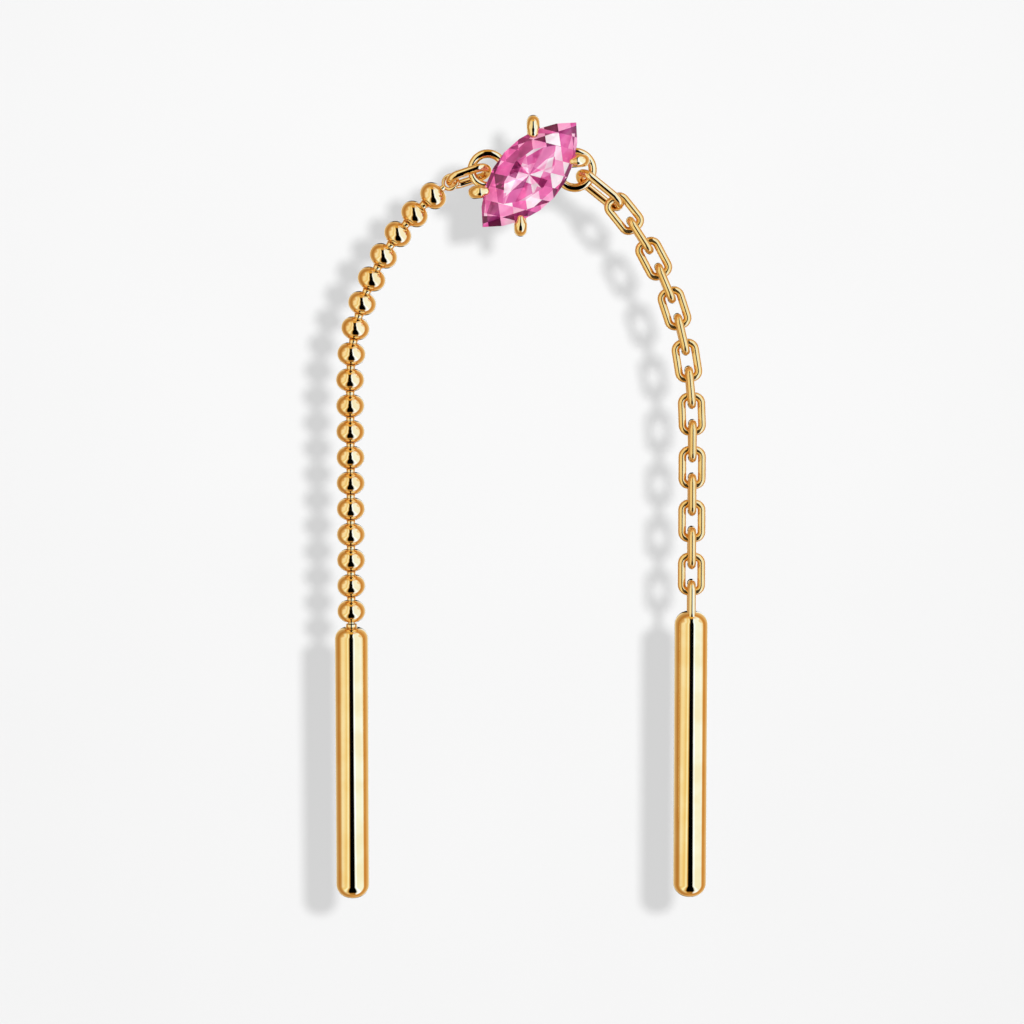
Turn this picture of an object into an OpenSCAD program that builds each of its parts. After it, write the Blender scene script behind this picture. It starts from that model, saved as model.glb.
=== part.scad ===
// Threader earring: a pink marquise stone in a four-claw setting, with a bead strand on its
// left and a cable chain on its right, each ending in a straight bar. Millimetres, +Z up.
// The stone faces -Y. The strands hang in the plane y = 0, and the origin is behind the
// middle of the stone, in that plane.

/* [Stone] */
// Length of the stone, point to point
stone_len = 5; // [4:0.1:6.5]
// Width of the stone across its middle
stone_w = 2.4; // [2:0.05:3]
// Slope of the stone's long axis above the horizontal, in degrees
stone_turn = 48; // [30:1:60]
// Height of the crown, from the girdle to the table
crown_h = 0.4; // [0.3:0.02:0.55]
// Depth of the pavilion behind the girdle
pavilion_h = 0.95; // [0.7:0.05:1.1]
// Thickness of the girdle
girdle_t = 0.06; // [0.04:0.01:0.12]

/* [Setting] */
// Distance of the girdle's middle in front of the strands
stone_stand = 0.8; // [0.75:0.05:1.2]
// Diameter of a claw
claw_d = 0.44; // [0.34:0.02:0.54]
// Straight length of a claw's head, between its round tip and its bend
claw_head = 0.06; // [0.02:0.01:0.3]
// Width of the band of the rail behind the stone
rail_w = 0.38; // [0.3:0.02:0.5]
// Depth of the rail, front to back
rail_t = 0.36; // [0.24:0.02:0.44]

/* [Side rings] */
// Outer diameter of the ring on the bead side
left_ring_d = 1.47; // [1.4:0.01:2]
// Outer diameter of the ring on the chain side
right_ring_d = 1.59; // [1.4:0.01:2]
// Wire diameter of a side ring
ring_wire = 0.31; // [0.24:0.01:0.36]
// Height of the side rings above the stone's middle
ring_rise = 0.19; // [0:0.01:0.4]

/* [Joining links] */
// Outer width of a joining link
joining_w = 1.02; // [0.98:0.01:1.3]
// Wire diameter of a joining link
joining_wire = 0.3; // [0.22:0.01:0.34]
// Outer length of the joining link on the bead side
bead_joining_len = 1.72; // [1.5:0.02:2.4]
// Outer length of the joining link on the chain side
chain_joining_len = 2.1; // [1.6:0.02:2.8]
// Slope of the bead side's joining link below the horizontal, in degrees
bead_joining_slope = 18; // [5:1:30]
// Slope of the chain side's joining link below the horizontal, in degrees
chain_joining_slope = 39; // [30:1:50]
// Turn of the joining links about their own length, in degrees
joining_roll = 62; // [50:1:80]

/* [Bead strand] */
// Number of beads
bead_count = 18; // [10:1:18]
// Diameter of a bead
bead_d = 1.03; // [0.94:0.01:1.1]
// Height of a bead along the strand
bead_h = 0.81; // [0.76:0.01:0.86]
// Distance from bead to bead
bead_pitch = 0.94; // [0.93:0.005:1.1]
// Wall of a hollow bead
bead_wall = 0.09; // [0.07:0.01:0.11]
// Diameter of the necks between the beads
neck_d = 0.31; // [0.24:0.01:0.34]
// Wire diameter of the loop that ends the strand
loop_wire = 0.13; // [0.1:0.01:0.16]
// Length of neck that shows between the loop and the first bead
loop_neck = 0.05; // [0.04:0.01:0.3]
// Lean of the strand from the vertical at its top, in degrees
bead_lean = 49; // [20:1:52]
// Number of beads over which the strand comes to hang straight
bead_bend = 8; // [8:1:10]

/* [Cable chain] */
// Number of links, counted to the one that is fixed to the bar
link_count = 16; // [8:2:16]
// Outer length of a link
link_len = 1.575; // [1.5:0.005:2.2]
// Outer width of a link
link_w = 1; // [0.98:0.01:1.15]
// Outer radius of a link's corners
link_corner = 0.39; // [0.36:0.01:0.44]
// Wire diameter of a link
link_wire = 0.29; // [0.22:0.01:0.3]
// Lean of the chain from the vertical at its top, in degrees
link_lean = 39; // [15:1:42]
// Number of links over which the chain comes to hang straight
link_bend = 9; // [8:1:12]

/* [Bars] */
// Diameter of the bars
bar_d = 1.22; // [1:0.01:1.4]
// Length of the bead side's bar
left_bar_len = 10.05; // [6:0.05:14]
// Length of the chain side's bar
right_bar_len = 10.6; // [6:0.05:14]
// Rounding of the top of the bead side's bar, as a share of the bar's radius
left_bar_top_round = 0.69; // [0.2:0.01:0.9]
// Rounding of the other ends of the bars, as a share of the bar's radius
bar_end_round = 0.82; // [0.2:0.01:0.9]
// Diameter of the neck where it meets the bead side's bar
bar_neck_d = 0.4; // [0.34:0.01:0.5]
// Gap between the last bead and the bead side's bar
bar_neck_gap = 0.19; // [0.12:0.01:0.4]
// Depth to which the last link is sunk in the chain side's bar
link_sink = 0.4; // [0.31:0.01:0.44]

/* [Fits] */
// Gap between two links, or a link and a ring, where they hang in each other
link_gap = 0.02; // [0.01:0.005:0.04]
// Gap between the stone and the metal that holds it
seat_gap = 0.03; // [0.02:0.005:0.05]
// Gap all round a neck in a bead's hole
hole_gap = 0.045; // [0.04:0.005:0.06]
// Gap between a neck's head and the inside of its bead
head_gap = 0.02; // [0.015:0.005:0.03]

/* [Hidden] */
$fn = 48;
gold = [0.89, 0.68, 0.33];
pink = [0.9, 0.42, 0.66];

// A marquise outline is two arcs. This is the arc's radius for a half length a and half width b.
function arc_r(a, b) = (a * a + b * b) / (2 * b);
// Half width of that outline at the distance u from its middle
function outline_v(a, b, u) = sqrt(pow(arc_r(a, b), 2) - u * u) - (arc_r(a, b) - b);
// Distance from the outline's middle to its edge, in a direction given from its long axis
function outline_reach(a, b, angle) =
    let (drop = (arc_r(a, b) - b) * abs(sin(angle)))
    sqrt(drop * drop + a * a) - drop;
// A point of the stone's plane, given along and across the stone, turned to the front view
function turned(p) = [
    p[0] * cos(stone_turn) - p[1] * sin(stone_turn),
    p[0] * sin(stone_turn) + p[1] * cos(stone_turn)
];
function flat(p, y) = [p[0], y, p[1]];
// Running total of a list of steps
function placed(start, steps, i) = i == 0 ? start : placed(start, steps, i - 1) + steps[i - 1];
function two_digits(i) = str(i < 10 ? "0" : "", i);

// Stone, with its rings of corners as shares of the outline and of its heights
half_len = stone_len / 2;
half_w = stone_w / 2;
outline_steps = 16;
table_share = 0.56;
crown_mid_share = 0.8;
crown_mid_height_share = 0.58;
pavilion_mid_share = 0.4;
pavilion_mid_depth_share = 0.66;
point_angle = asin(half_len / arc_r(half_len, half_w));
girdle_y = -stone_stand;

// Claws: which end of the stone, which side, and the place as a share of the half length
end_of = 0;
side_of = 1;
place_of = 2;
claws = [[1, 1, 0.5], [-1, 1, 0.61], [1, -1, 0.57], [-1, -1, 0.57]];
claw_r = claw_d / 2;
claw_splay = 41.5;
claw_tip_out = 0.07 * claw_d;
claw_bend_r = 1.09 * claw_r;
claw_foot_in = 0.22 * half_len;
claw_leg_r = 0.9 * claw_r;
claw_leg_start = 0.2 * claw_bend_r;
crown_slope = atan(crown_h * crown_mid_height_share / (half_w * (1 - crown_mid_share)));
claw_tip_front = girdle_t / 2
    + (claw_r + 1.5 * seat_gap - claw_tip_out * sin(crown_slope)) / cos(crown_slope);

// Rail behind the stone, and the rings soldered to its sides, left and right
rail_a = 0.56 * half_len + seat_gap;
rail_b = 0.72 * half_w + seat_gap;
rail_y = -ring_wire / 6;
rail_reach = outline_reach(rail_a, rail_b, stone_turn);
left_ring_r = (left_ring_d - ring_wire) / 2;
right_ring_r = (right_ring_d - ring_wire) / 2;
left_weld = 0.8 * ring_wire;
right_weld = 0.5 * ring_wire;
left_ring_at = [left_weld - rail_reach - left_ring_d / 2, ring_rise];
right_ring_at = [rail_reach + right_ring_d / 2 - right_weld, ring_rise];

// Joining links
joining_r = (joining_w - joining_wire) / 2;
bead_joining_slack = 0.83 * joining_wire;
chain_joining_slack = 0.2 * joining_wire;
bead_pull = [-cos(bead_joining_slope), -sin(bead_joining_slope)];
chain_pull = [cos(chain_joining_slope), -sin(chain_joining_slope)];
hook_in = (ring_wire + joining_wire) / 2 + link_gap;
bead_joining_at = left_ring_at + bead_pull
    * (left_ring_r - hook_in - bead_joining_slack + (bead_joining_len - joining_wire) / 2);
chain_joining_at = right_ring_at + chain_pull
    * (right_ring_r - hook_in - chain_joining_slack + (chain_joining_len - joining_wire) / 2);

// Loop at the top of the bead strand, whose hole lets the joining link through
loop_hole = joining_wire / 2 + 3 * link_gap;
loop_r = loop_hole + loop_wire / 2;
loop_lean = bead_lean + 3;
loop_neck_d = 0.75 * neck_d;
loop_at = bead_joining_at
    + bead_pull * ((bead_joining_len - joining_wire) / 2 - link_gap / 2);
first_bead = loop_at
    - [sin(loop_lean), cos(loop_lean)] * (loop_r + loop_wire / 2 + loop_neck + bead_h / 2);

// Beads: the lean of each step of the strand, its places, and the lean of each bead
bead_side_r = bead_h / 2;
bead_core_r = bead_d / 2 - bead_side_r;
hole_r = neck_d / 2 + hole_gap;
head_r = 1.2 * hole_r;
head_t = 0.1 * bead_h;
head_z = sqrt(pow(bead_side_r - bead_wall, 2) - pow(head_r - bead_core_r, 2)) - head_gap;
bead_step_lean = [
    for (i = [0 : bead_count - 2]) bead_lean * max(0, 1 - (i + 0.5) / bead_bend)
];
bead_steps = [for (lean = bead_step_lean) -bead_pitch * [sin(lean), cos(lean)]];
bead_at = [for (i = [0 : bead_count - 1]) placed(first_bead, bead_steps, i)];
bead_axis_lean = [
    for (i = [0 : bead_count - 1])
        ((i == 0 ? loop_lean : bead_step_lean[i - 1])
            + (i == bead_count - 1 ? 0 : bead_step_lean[i])) / 2
];

// Links: each hangs by its end wire in the end of the one above
link_side = (link_len - link_wire) / 2;
link_mid_r = link_corner - link_wire / 2;
link_lean_power = 1.3;
link_axis_lean = [
    for (i = [0 : link_count - 1]) link_lean * pow(max(0, 1 - i / link_bend), link_lean_power)
];
function link_dir(i) = [sin(link_axis_lean[i]), -cos(link_axis_lean[i])];
function unit(p) = p / norm(p);
joining_end = chain_joining_at + chain_pull * (chain_joining_len - joining_wire) / 2;
first_link = joining_end
    - unit(chain_pull + link_dir(0)) * ((joining_wire + link_wire) / 2 + link_gap)
    + link_dir(0) * link_side;
link_steps = [
    for (i = [0 : link_count - 2])
        (link_dir(i) + link_dir(i + 1)) * link_side
            - unit(link_dir(i) + link_dir(i + 1)) * (link_wire + link_gap)
];
link_at = [for (i = [0 : link_count - 1]) placed(first_link, link_steps, i)];

// Bars
left_bar_shoulder = left_bar_top_round * bar_d / 2;
bar_end_r = bar_end_round * bar_d / 2;
left_bar_top = bead_at[bead_count - 1] - [0, bead_side_r + bar_neck_gap];
right_bar_top = link_at[link_count - 1] - [0, link_len / 2 - link_sink];
bar_head_r = 0.31 * bead_h;
bar_waist_d = 0.84 * neck_d;
bar_hole_r = 0.77 * bar_waist_d;
bar_head_drop = sqrt(pow(bead_side_r - bead_wall, 2) - pow(bar_hole_r - bead_core_r, 2))
    - sqrt(pow(bar_head_r + head_gap, 2) - pow(bar_hole_r, 2));

function bead_name(i) = str("bead_", two_digits(i + 1));
function link_name(i) = str("link_", two_digits(i + 1));

// A marquise outline, as the overlap of two discs
module marquise(a, b) {
    intersection() {
        translate([0, b - arc_r(a, b)]) circle(r = arc_r(a, b), $fn = 160);
        translate([0, arc_r(a, b) - b]) circle(r = arc_r(a, b), $fn = 160);
    }
}

// A long round-ended link in the plane of Y and Z, its length along Z
module oval_link(length, r, wire) {
    straight = length - wire - 2 * r;
    for (end = [-1, 1]) {
        translate([0, end * r, -straight / 2]) cylinder(h = straight, d = wire);
        translate([0, 0, end * straight / 2])
            rotate([90, 0, 90])
                rotate_extrude(angle = 180 * end) translate([r, 0]) circle(d = wire);
    }
}

// A chain link in the plane of X and Z, its length along Z, with straight sides and ends
module chain_link() {
    flat_w = link_w - 2 * link_corner;
    flat_l = link_len - 2 * link_corner;
    for (side = [-1, 1]) {
        translate([side * (link_w - link_wire) / 2, 0, -flat_l / 2])
            cylinder(h = flat_l, d = link_wire);
        translate([-flat_w / 2, 0, side * link_side])
            rotate([0, 90, 0]) cylinder(h = flat_w, d = link_wire);
    }
    for (turn = [0 : 3])
        translate([
            (turn == 0 || turn == 3 ? 1 : -1) * flat_w / 2,
            0,
            (turn < 2 ? 1 : -1) * flat_l / 2
        ])
            rotate([90, -90 * turn, 0])
                rotate_extrude(angle = 90) translate([link_mid_r, 0]) circle(d = link_wire);
}

// Half of a bead's section: a round-sided body of the given side radius, about the axis
module bead_section(side_r) {
    translate([bead_core_r, 0]) circle(r = side_r);
    translate([0, -side_r]) square([bead_core_r, 2 * side_r]);
}

// A hollow bead with a hole at each end, its axis along Z
module bead(lower_hole_r) {
    rotate_extrude()
        intersection() {
            translate([0, -bead_h]) square([bead_d, 2 * bead_h]);
            difference() {
                bead_section(bead_side_r);
                bead_section(bead_side_r - bead_wall);
                square([hole_r, bead_h]);
                translate([0, -bead_h]) square([lower_hole_r, bead_h]);
            }
        }
}

// The head of a neck, a thick disc with its outer face at z = 0, inside a bead
module neck_head() {
    translate([0, 0, -head_t]) cylinder(h = head_t, r = head_r);
}

// A neck between two beads, with a head in each
module neck() {
    half = bead_pitch / 2;
    translate([0, 0, head_z - half - head_t]) cylinder(h = 2 * (half - head_z + head_t), d = neck_d);
    for (flip = [0, 180]) rotate([flip, 0, 0]) translate([0, 0, head_z - half]) neck_head();
}

// A round bar hanging from z = 0, with rounded edges
module bar(length, top_r) {
    rotate_extrude() {
        translate([bar_d / 2 - top_r, -top_r]) intersection() {
            circle(r = top_r);
            square(top_r);
        }
        translate([0, -top_r]) square([bar_d / 2 - top_r, top_r]);
        translate([0, bar_end_r - length]) square([bar_d / 2, length - bar_end_r - top_r]);
        translate([bar_d / 2 - bar_end_r, bar_end_r - length]) intersection() {
            circle(r = bar_end_r);
            translate([0, -bar_end_r]) square(bar_end_r);
        }
        translate([0, -length]) square([bar_d / 2 - bar_end_r, bar_end_r]);
    }
}

// Corners of the stone, as rings of points at shares of the outline
function outline_point(k) =
    let (
        side = k < outline_steps / 2 ? 1 : -1,
        share = (k % (outline_steps / 2)) / (outline_steps / 4),
        angle = side * point_angle * (1 - share),
        r = arc_r(half_len, half_w)
    )
    [r * sin(angle), side * (r * cos(angle) - r + half_w)];
function stone_ring(share, y, first, step) = [
    for (k = [first : step : outline_steps - 1]) flat(outline_point(k) * share, y)
];

// The stone, with its table to -Y: table, stars, kites, girdle, and pavilion to a point
module stone() {
    mains = outline_steps / 2;
    table = stone_ring(table_share, -girdle_t / 2 - crown_h, 0, 2);
    crown = stone_ring(
        crown_mid_share, -girdle_t / 2 - crown_h * crown_mid_height_share, 1, 2
    );
    front = stone_ring(1, -girdle_t / 2, 0, 1);
    back = stone_ring(1, girdle_t / 2, 0, 1);
    pavilion = stone_ring(
        pavilion_mid_share, girdle_t / 2 + pavilion_h * pavilion_mid_depth_share, 1, 2
    );
    crown_at = mains;
    front_at = crown_at + mains;
    back_at = front_at + outline_steps;
    pavilion_at = back_at + outline_steps;
    point_at = pavilion_at + mains;
    faces = concat(
        [[for (k = [mains - 1 : -1 : 0]) k]],
        [for (k = [0 : mains - 1])
            let (
                next = (k + 1) % mains,
                c = crown_at + k,
                f = front_at + 2 * k,
                f_next = front_at + 2 * next,
                b = back_at + 2 * k,
                b_next = back_at + 2 * next,
                p = pavilion_at + k
            )
            each [
                [k, next, c],
                [k, c, f],
                [next, f_next, c],
                [c, f + 1, f],
                [c, f_next, f + 1],
                [p, b, b + 1],
                [p, b + 1, b_next],
                [p, point_at, b],
                [p, b_next, point_at]
            ]
        ],
        [for (k = [0 : outline_steps - 1])
            let (next = (k + 1) % outline_steps)
            each [
                [front_at + k, front_at + next, back_at + next],
                [front_at + k, back_at + next, back_at + k]
            ]
        ]
    );
    color(pink)
        translate([0, girdle_y, 0])
            rotate([0, -stone_turn, 0])
                polyhedron(
                    concat(table, crown, front, back, pavilion, [[0, girdle_t / 2 + pavilion_h, 0]]),
                    faces
                );
}

// One claw, from its round tip over the girdle, round its bend and back to the rail
module claw(row) {
    u = row[end_of] * row[place_of] * half_len;
    v = row[side_of] * outline_v(half_len, half_w, u);
    splay = atan2(row[side_of] * sin(claw_splay), row[end_of] * cos(claw_splay));
    bend_at = [claw_tip_out + claw_head, claw_bend_r - claw_tip_front];
    foot = [-claw_foot_in, rail_y + rail_t / 2 - girdle_y] - bend_at;
    slant = atan2(-foot[0], foot[1]) + asin(claw_bend_r / norm(foot));
    translate(flat(turned([u, v]), girdle_y))
        rotate([0, -stone_turn - splay, 0])
            translate(bend_at) {
                translate([-claw_head, -claw_bend_r, 0]) rotate([0, 90, 0]) rotate_extrude() {
                    square([claw_r, claw_head]);
                    intersection() {
                        circle(r = claw_r);
                        translate([0, -claw_r]) square(claw_r);
                    }
                }
                rotate([0, 0, -90])
                    rotate_extrude(angle = 90 + slant) translate([claw_bend_r, 0]) circle(r = claw_r);
                rotate([0, 0, slant])
                    translate([claw_bend_r, -claw_leg_start, 0])
                        rotate([-90, 0, 0])
                            cylinder(
                                h = sqrt(pow(norm(foot), 2) - pow(claw_bend_r, 2)) + claw_leg_start,
                                r = claw_leg_r
                            );
            }
}

// A ring in the plane of X and Z, from its wire's middle radius
module front_ring(r, wire) {
    rotate([90, 0, 0]) rotate_extrude() translate([r, 0]) circle(d = wire);
}

// The setting: rail, four claws and two side rings, soldered into one
module setting() {
    color(gold) {
        translate([0, rail_y + rail_t, 0])
            rotate([90, -stone_turn, 0])
                linear_extrude(rail_t) difference() {
                    marquise(rail_a, rail_b);
                    marquise(rail_a - rail_w, rail_b - rail_w);
                }
        for (row = claws) claw(row);
        translate(flat(left_ring_at, 0)) front_ring(left_ring_r, ring_wire);
        translate(flat(right_ring_at, 0)) front_ring(right_ring_r, ring_wire);
    }
}

module bead_joining_link() {
    color(gold)
        translate(flat(bead_joining_at, 0))
            rotate([0, 90 - bead_joining_slope, 0])
                rotate([0, 0, joining_roll - 90])
                    oval_link(bead_joining_len, joining_r, joining_wire);
}

module chain_joining_link() {
    color(gold)
        translate(flat(chain_joining_at, 0))
            rotate([0, 90 + chain_joining_slope, 0])
                rotate([0, 0, joining_roll - 90])
                    oval_link(chain_joining_len, joining_r, joining_wire);
}

// The loop at the strand's top, with its neck and the head inside the first bead
module bead_loop() {
    neck_len = loop_wire / 2 + loop_neck + bead_h / 2 - head_z + head_t;
    color(gold)
        translate(flat(loop_at, 0))
            rotate([0, loop_lean, 0])
                rotate([0, 0, joining_roll - 90]) {
                    front_ring(loop_r, loop_wire);
                    translate([0, 0, -loop_r - neck_len]) cylinder(h = neck_len, d = loop_neck_d);
                    translate([0, 0, -loop_r - neck_len]) cylinder(h = head_t, r = head_r);
                }
}

module bead_node(i) {
    color(gold)
        translate(flat(bead_at[i], 0))
            rotate([0, bead_axis_lean[i], 0])
                bead(i == bead_count - 1 ? bar_hole_r : hole_r);
}

// All the necks between the beads, loose in their holes
module bead_necks() {
    color(gold)
        for (i = [0 : bead_count - 2])
            translate(flat((bead_at[i] + bead_at[i + 1]) / 2, 0))
                rotate([0, bead_step_lean[i], 0])
                    neck();
}

// A chain link; every second one lies edge-on
module link_shape(i) {
    translate(flat(link_at[i], 0))
        rotate([0, -link_axis_lean[i], 0])
            rotate([0, 0, i % 2 == 0 ? 0 : 90])
                chain_link();
}

module link_node(i) {
    color(gold) link_shape(i);
}

// The bead side's bar, with its neck and the ball that turns inside the last bead
module bar_left() {
    ball_up = bar_neck_gap + bead_side_r - bar_head_drop;
    color(gold)
        translate(flat(left_bar_top, 0)) {
            bar(left_bar_len, left_bar_shoulder);
            translate([0, 0, -left_bar_shoulder])
                cylinder(h = left_bar_shoulder + ball_up, d = bar_waist_d);
            translate([0, 0, -left_bar_shoulder / 2])
                cylinder(h = left_bar_shoulder / 2 + bar_neck_gap / 2, d = bar_neck_d);
            translate([0, 0, ball_up]) sphere(r = bar_head_r);
        }
}

// The chain side's bar, with the last link sunk and soldered in its top
module bar_right() {
    color(gold) {
        link_shape(link_count - 1);
        translate(flat(right_bar_top, 0)) bar(right_bar_len, bar_end_r);
    }
}

setting();
stone();
bead_joining_link();
chain_joining_link();
bead_loop();
bead_necks();
for (i = [0 : bead_count - 1]) bead_node(i);
for (i = [0 : link_count - 2]) link_node(i);
bar_left();
bar_right();
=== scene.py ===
import math
import random

import bmesh
import bpy
from mathutils import Matrix, Vector


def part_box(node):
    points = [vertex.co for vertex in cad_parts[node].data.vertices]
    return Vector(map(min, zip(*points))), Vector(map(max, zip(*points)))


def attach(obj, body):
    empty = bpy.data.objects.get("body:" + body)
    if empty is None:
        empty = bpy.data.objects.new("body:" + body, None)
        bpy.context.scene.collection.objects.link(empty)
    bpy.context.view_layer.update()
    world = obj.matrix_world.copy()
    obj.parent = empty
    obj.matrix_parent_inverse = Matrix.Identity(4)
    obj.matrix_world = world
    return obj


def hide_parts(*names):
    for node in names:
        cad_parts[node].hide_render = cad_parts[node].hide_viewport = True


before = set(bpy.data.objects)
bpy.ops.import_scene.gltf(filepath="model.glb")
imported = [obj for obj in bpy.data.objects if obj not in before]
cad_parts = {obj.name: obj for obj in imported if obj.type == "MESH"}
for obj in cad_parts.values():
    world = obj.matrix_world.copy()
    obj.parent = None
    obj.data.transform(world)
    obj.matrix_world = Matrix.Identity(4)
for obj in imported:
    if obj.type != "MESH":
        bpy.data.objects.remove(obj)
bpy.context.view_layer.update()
scene = bpy.context.scene
mm = 0.001


# Node trees: one wrapper round a socket, and one method that adds any node

class Value:  # a socket that takes part in sums
    def __init__(self, maker, socket):
        self.maker = maker
        self.socket = socket

    def math(self, operation, first, second):
        return self.maker.add("ShaderNodeMath", {"operation": operation}, {0: first, 1: second})

    def __add__(self, other):
        return self.math("ADD", self, other)

    __radd__ = __add__

    def __mul__(self, other):
        return self.math("MULTIPLY", self, other)

    __rmul__ = __mul__

    def __sub__(self, other):
        return self.math("SUBTRACT", self, other)

    def __rsub__(self, other):
        return self.math("SUBTRACT", other, self)

    def __truediv__(self, other):
        return self.math("DIVIDE", self, other)


class NodeMaker:
    def __init__(self, tree):
        self.tree = tree
        tree.nodes.clear()

    def add(self, kind, settings=None, inputs=None, output=0):
        node = self.tree.nodes.new(kind)
        for key, value in (settings or {}).items():
            if key == "stops":
                ramp = node.color_ramp
                while len(ramp.elements) < len(value):
                    ramp.elements.new(1)
                for element, (place, colour) in zip(ramp.elements, value):
                    element.position = place
                    element.color = (*colour, 1)
            else:
                setattr(node, key, value)
        for key, value in (inputs or {}).items():
            socket = node.inputs[key]
            if isinstance(value, Value):
                self.tree.links.new(value.socket, socket)
            else:
                socket.default_value = value
        return Value(self, node.outputs[output]) if node.outputs else node

    def smooth(self, value, start, end):
        return self.add(
            "ShaderNodeMapRange",
            {"interpolation_type": "SMOOTHSTEP"},
            {"Value": value, "From Min": start, "From Max": end},
        )

    def mix(self, share, colourA, colourB):
        def full(c):
            return c if isinstance(c, Value) else (*c, 1)
        return self.add(  # sockets 6 and 7 are its two colours, and output 2 is the mixed one
            "ShaderNodeMix",
            {"data_type": "RGBA", "clamp_factor": True},
            {0: share, 6: full(colourA), 7: full(colourB)},
            2,
        )


def newMaterial(name):
    material = bpy.data.materials.new(name)
    material.use_nodes = True
    return material, NodeMaker(material.node_tree)


# Gold: one finish each for the beads, the chain, the bars and the setting

goldLook = {
    "beadGold": {
        "tone": (0.945, 0.635, 0.265), "rough": 0.04, "metal": 1,
        "scratches": 9000, "stretch": (1, 1, 1), "bump": 0.35,
    },
    "linkGold": {
        "tone": (0.95, 0.6, 0.2), "rough": 0.07, "metal": 0.88,
        "scratches": 8000, "stretch": (1, 1, 0.5), "bump": 0.4,
    },
    "barGold": {
        "tone": (0.95, 0.66, 0.28), "rough": 0.035, "metal": 1,
        "scratches": 7000, "stretch": (1, 1, 0.06), "bump": 0.3,
    },
    "settingGold": {
        "tone": (0.95, 0.66, 0.28), "rough": 0.045, "metal": 1,
        "scratches": 8000, "stretch": (1, 1, 1), "bump": 0.35,
    },
}
goldWear = {
    "cloudScale": 1100,
    "waveScale": 2600,
    "deep": (0.985, 0.95, 0.88),  # shares of the tone, in its deeper and paler clouds
    "pale": (1.01, 1.04, 1.1),
    "scratchRough": 0.05,
    "cloudRough": 0.02,
    "scratchHeight": 0.35,
    "waveHeight": 0.65,
    "bumpDepth": 0.004 * mm,
}


def makeGold(name):
    look, wear = goldLook[name], goldWear
    material, n = newMaterial(name)
    place = n.add("ShaderNodeTexCoord", output="Object")
    cloud = n.add(
        "ShaderNodeTexNoise", {}, {"Vector": place, "Scale": wear["cloudScale"], "Detail": 3}
    )
    fine = n.add("ShaderNodeMapping", {}, {"Vector": place, "Scale": look["stretch"]})
    lines = n.add(
        "ShaderNodeTexNoise", {}, {"Vector": fine, "Scale": look["scratches"], "Detail": 4}
    )
    wave = n.add(
        "ShaderNodeTexNoise", {}, {"Vector": place, "Scale": wear["waveScale"], "Detail": 1}
    )
    deep = [v * share for v, share in zip(look["tone"], wear["deep"])]
    pale = [v * share for v, share in zip(look["tone"], wear["pale"])]
    tone = n.mix(n.smooth(cloud, 0.35, 0.65), deep, pale)
    scratched = wear["scratchRough"] * n.smooth(lines, 0.45, 0.75)
    roughness = look["rough"] + scratched + wear["cloudRough"] * cloud
    height = lines * wear["scratchHeight"] + wave * wear["waveHeight"]
    normal = n.add("ShaderNodeBump", {}, {
        "Height": height, "Strength": look["bump"], "Distance": wear["bumpDepth"],
    })
    shader = n.add("ShaderNodeBsdfPrincipled", {}, {
        "Base Color": tone, "Metallic": look["metal"], "Roughness": roughness, "Normal": normal,
    })
    n.add("ShaderNodeOutputMaterial", {}, {"Surface": shader})
    return material


beadGold, linkGold, barGold, settingGold = [makeGold(name) for name in goldLook]


# Stone's material: a clear pink, mixed with a flat one, with painted light and shade per facet:
# painted shade on the dark facets along the rim, painted highlights and reflections on the white
# ones

stoneLook = {
    "clearPaintedTones": [  # both from the painted shade of the dark facets along the rim to the painted highlights of the white ones
        (0.0, (0.07, 0.003, 0.03)), (0.2, (0.24, 0.014, 0.09)), (0.42, (0.78, 0.09, 0.33)),
        (0.6, (0.97, 0.28, 0.53)), (0.78, (1.0, 0.62, 0.79)), (0.92, (1.0, 0.97, 0.99)),
    ],
    "flatPaintedTones": [
        (0.0, (0.1, 0.006, 0.045)), (0.25, (0.27, 0.025, 0.13)), (0.45, (0.74, 0.09, 0.36)),
        (0.62, (0.92, 0.17, 0.48)), (0.8, (1.0, 0.42, 0.68)), (0.95, (1.0, 0.95, 0.97)),
    ],
    "ior": 1.76,
    "clear": 0.9,
    "sheen": (1, 0.78, 0.5),  # takes the blue out of what the facets mirror
    # painted glow: the flat pink emits light though it is no lamp
    "flatPaintedGlow": 0.35,
    "flatRough": 0.05,
    "flatMirror": 0.25,
    "zoneScale": 1300,
    "zoneShare": 0.35,  # how far the painted light and shade wander within a facet
}


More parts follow.
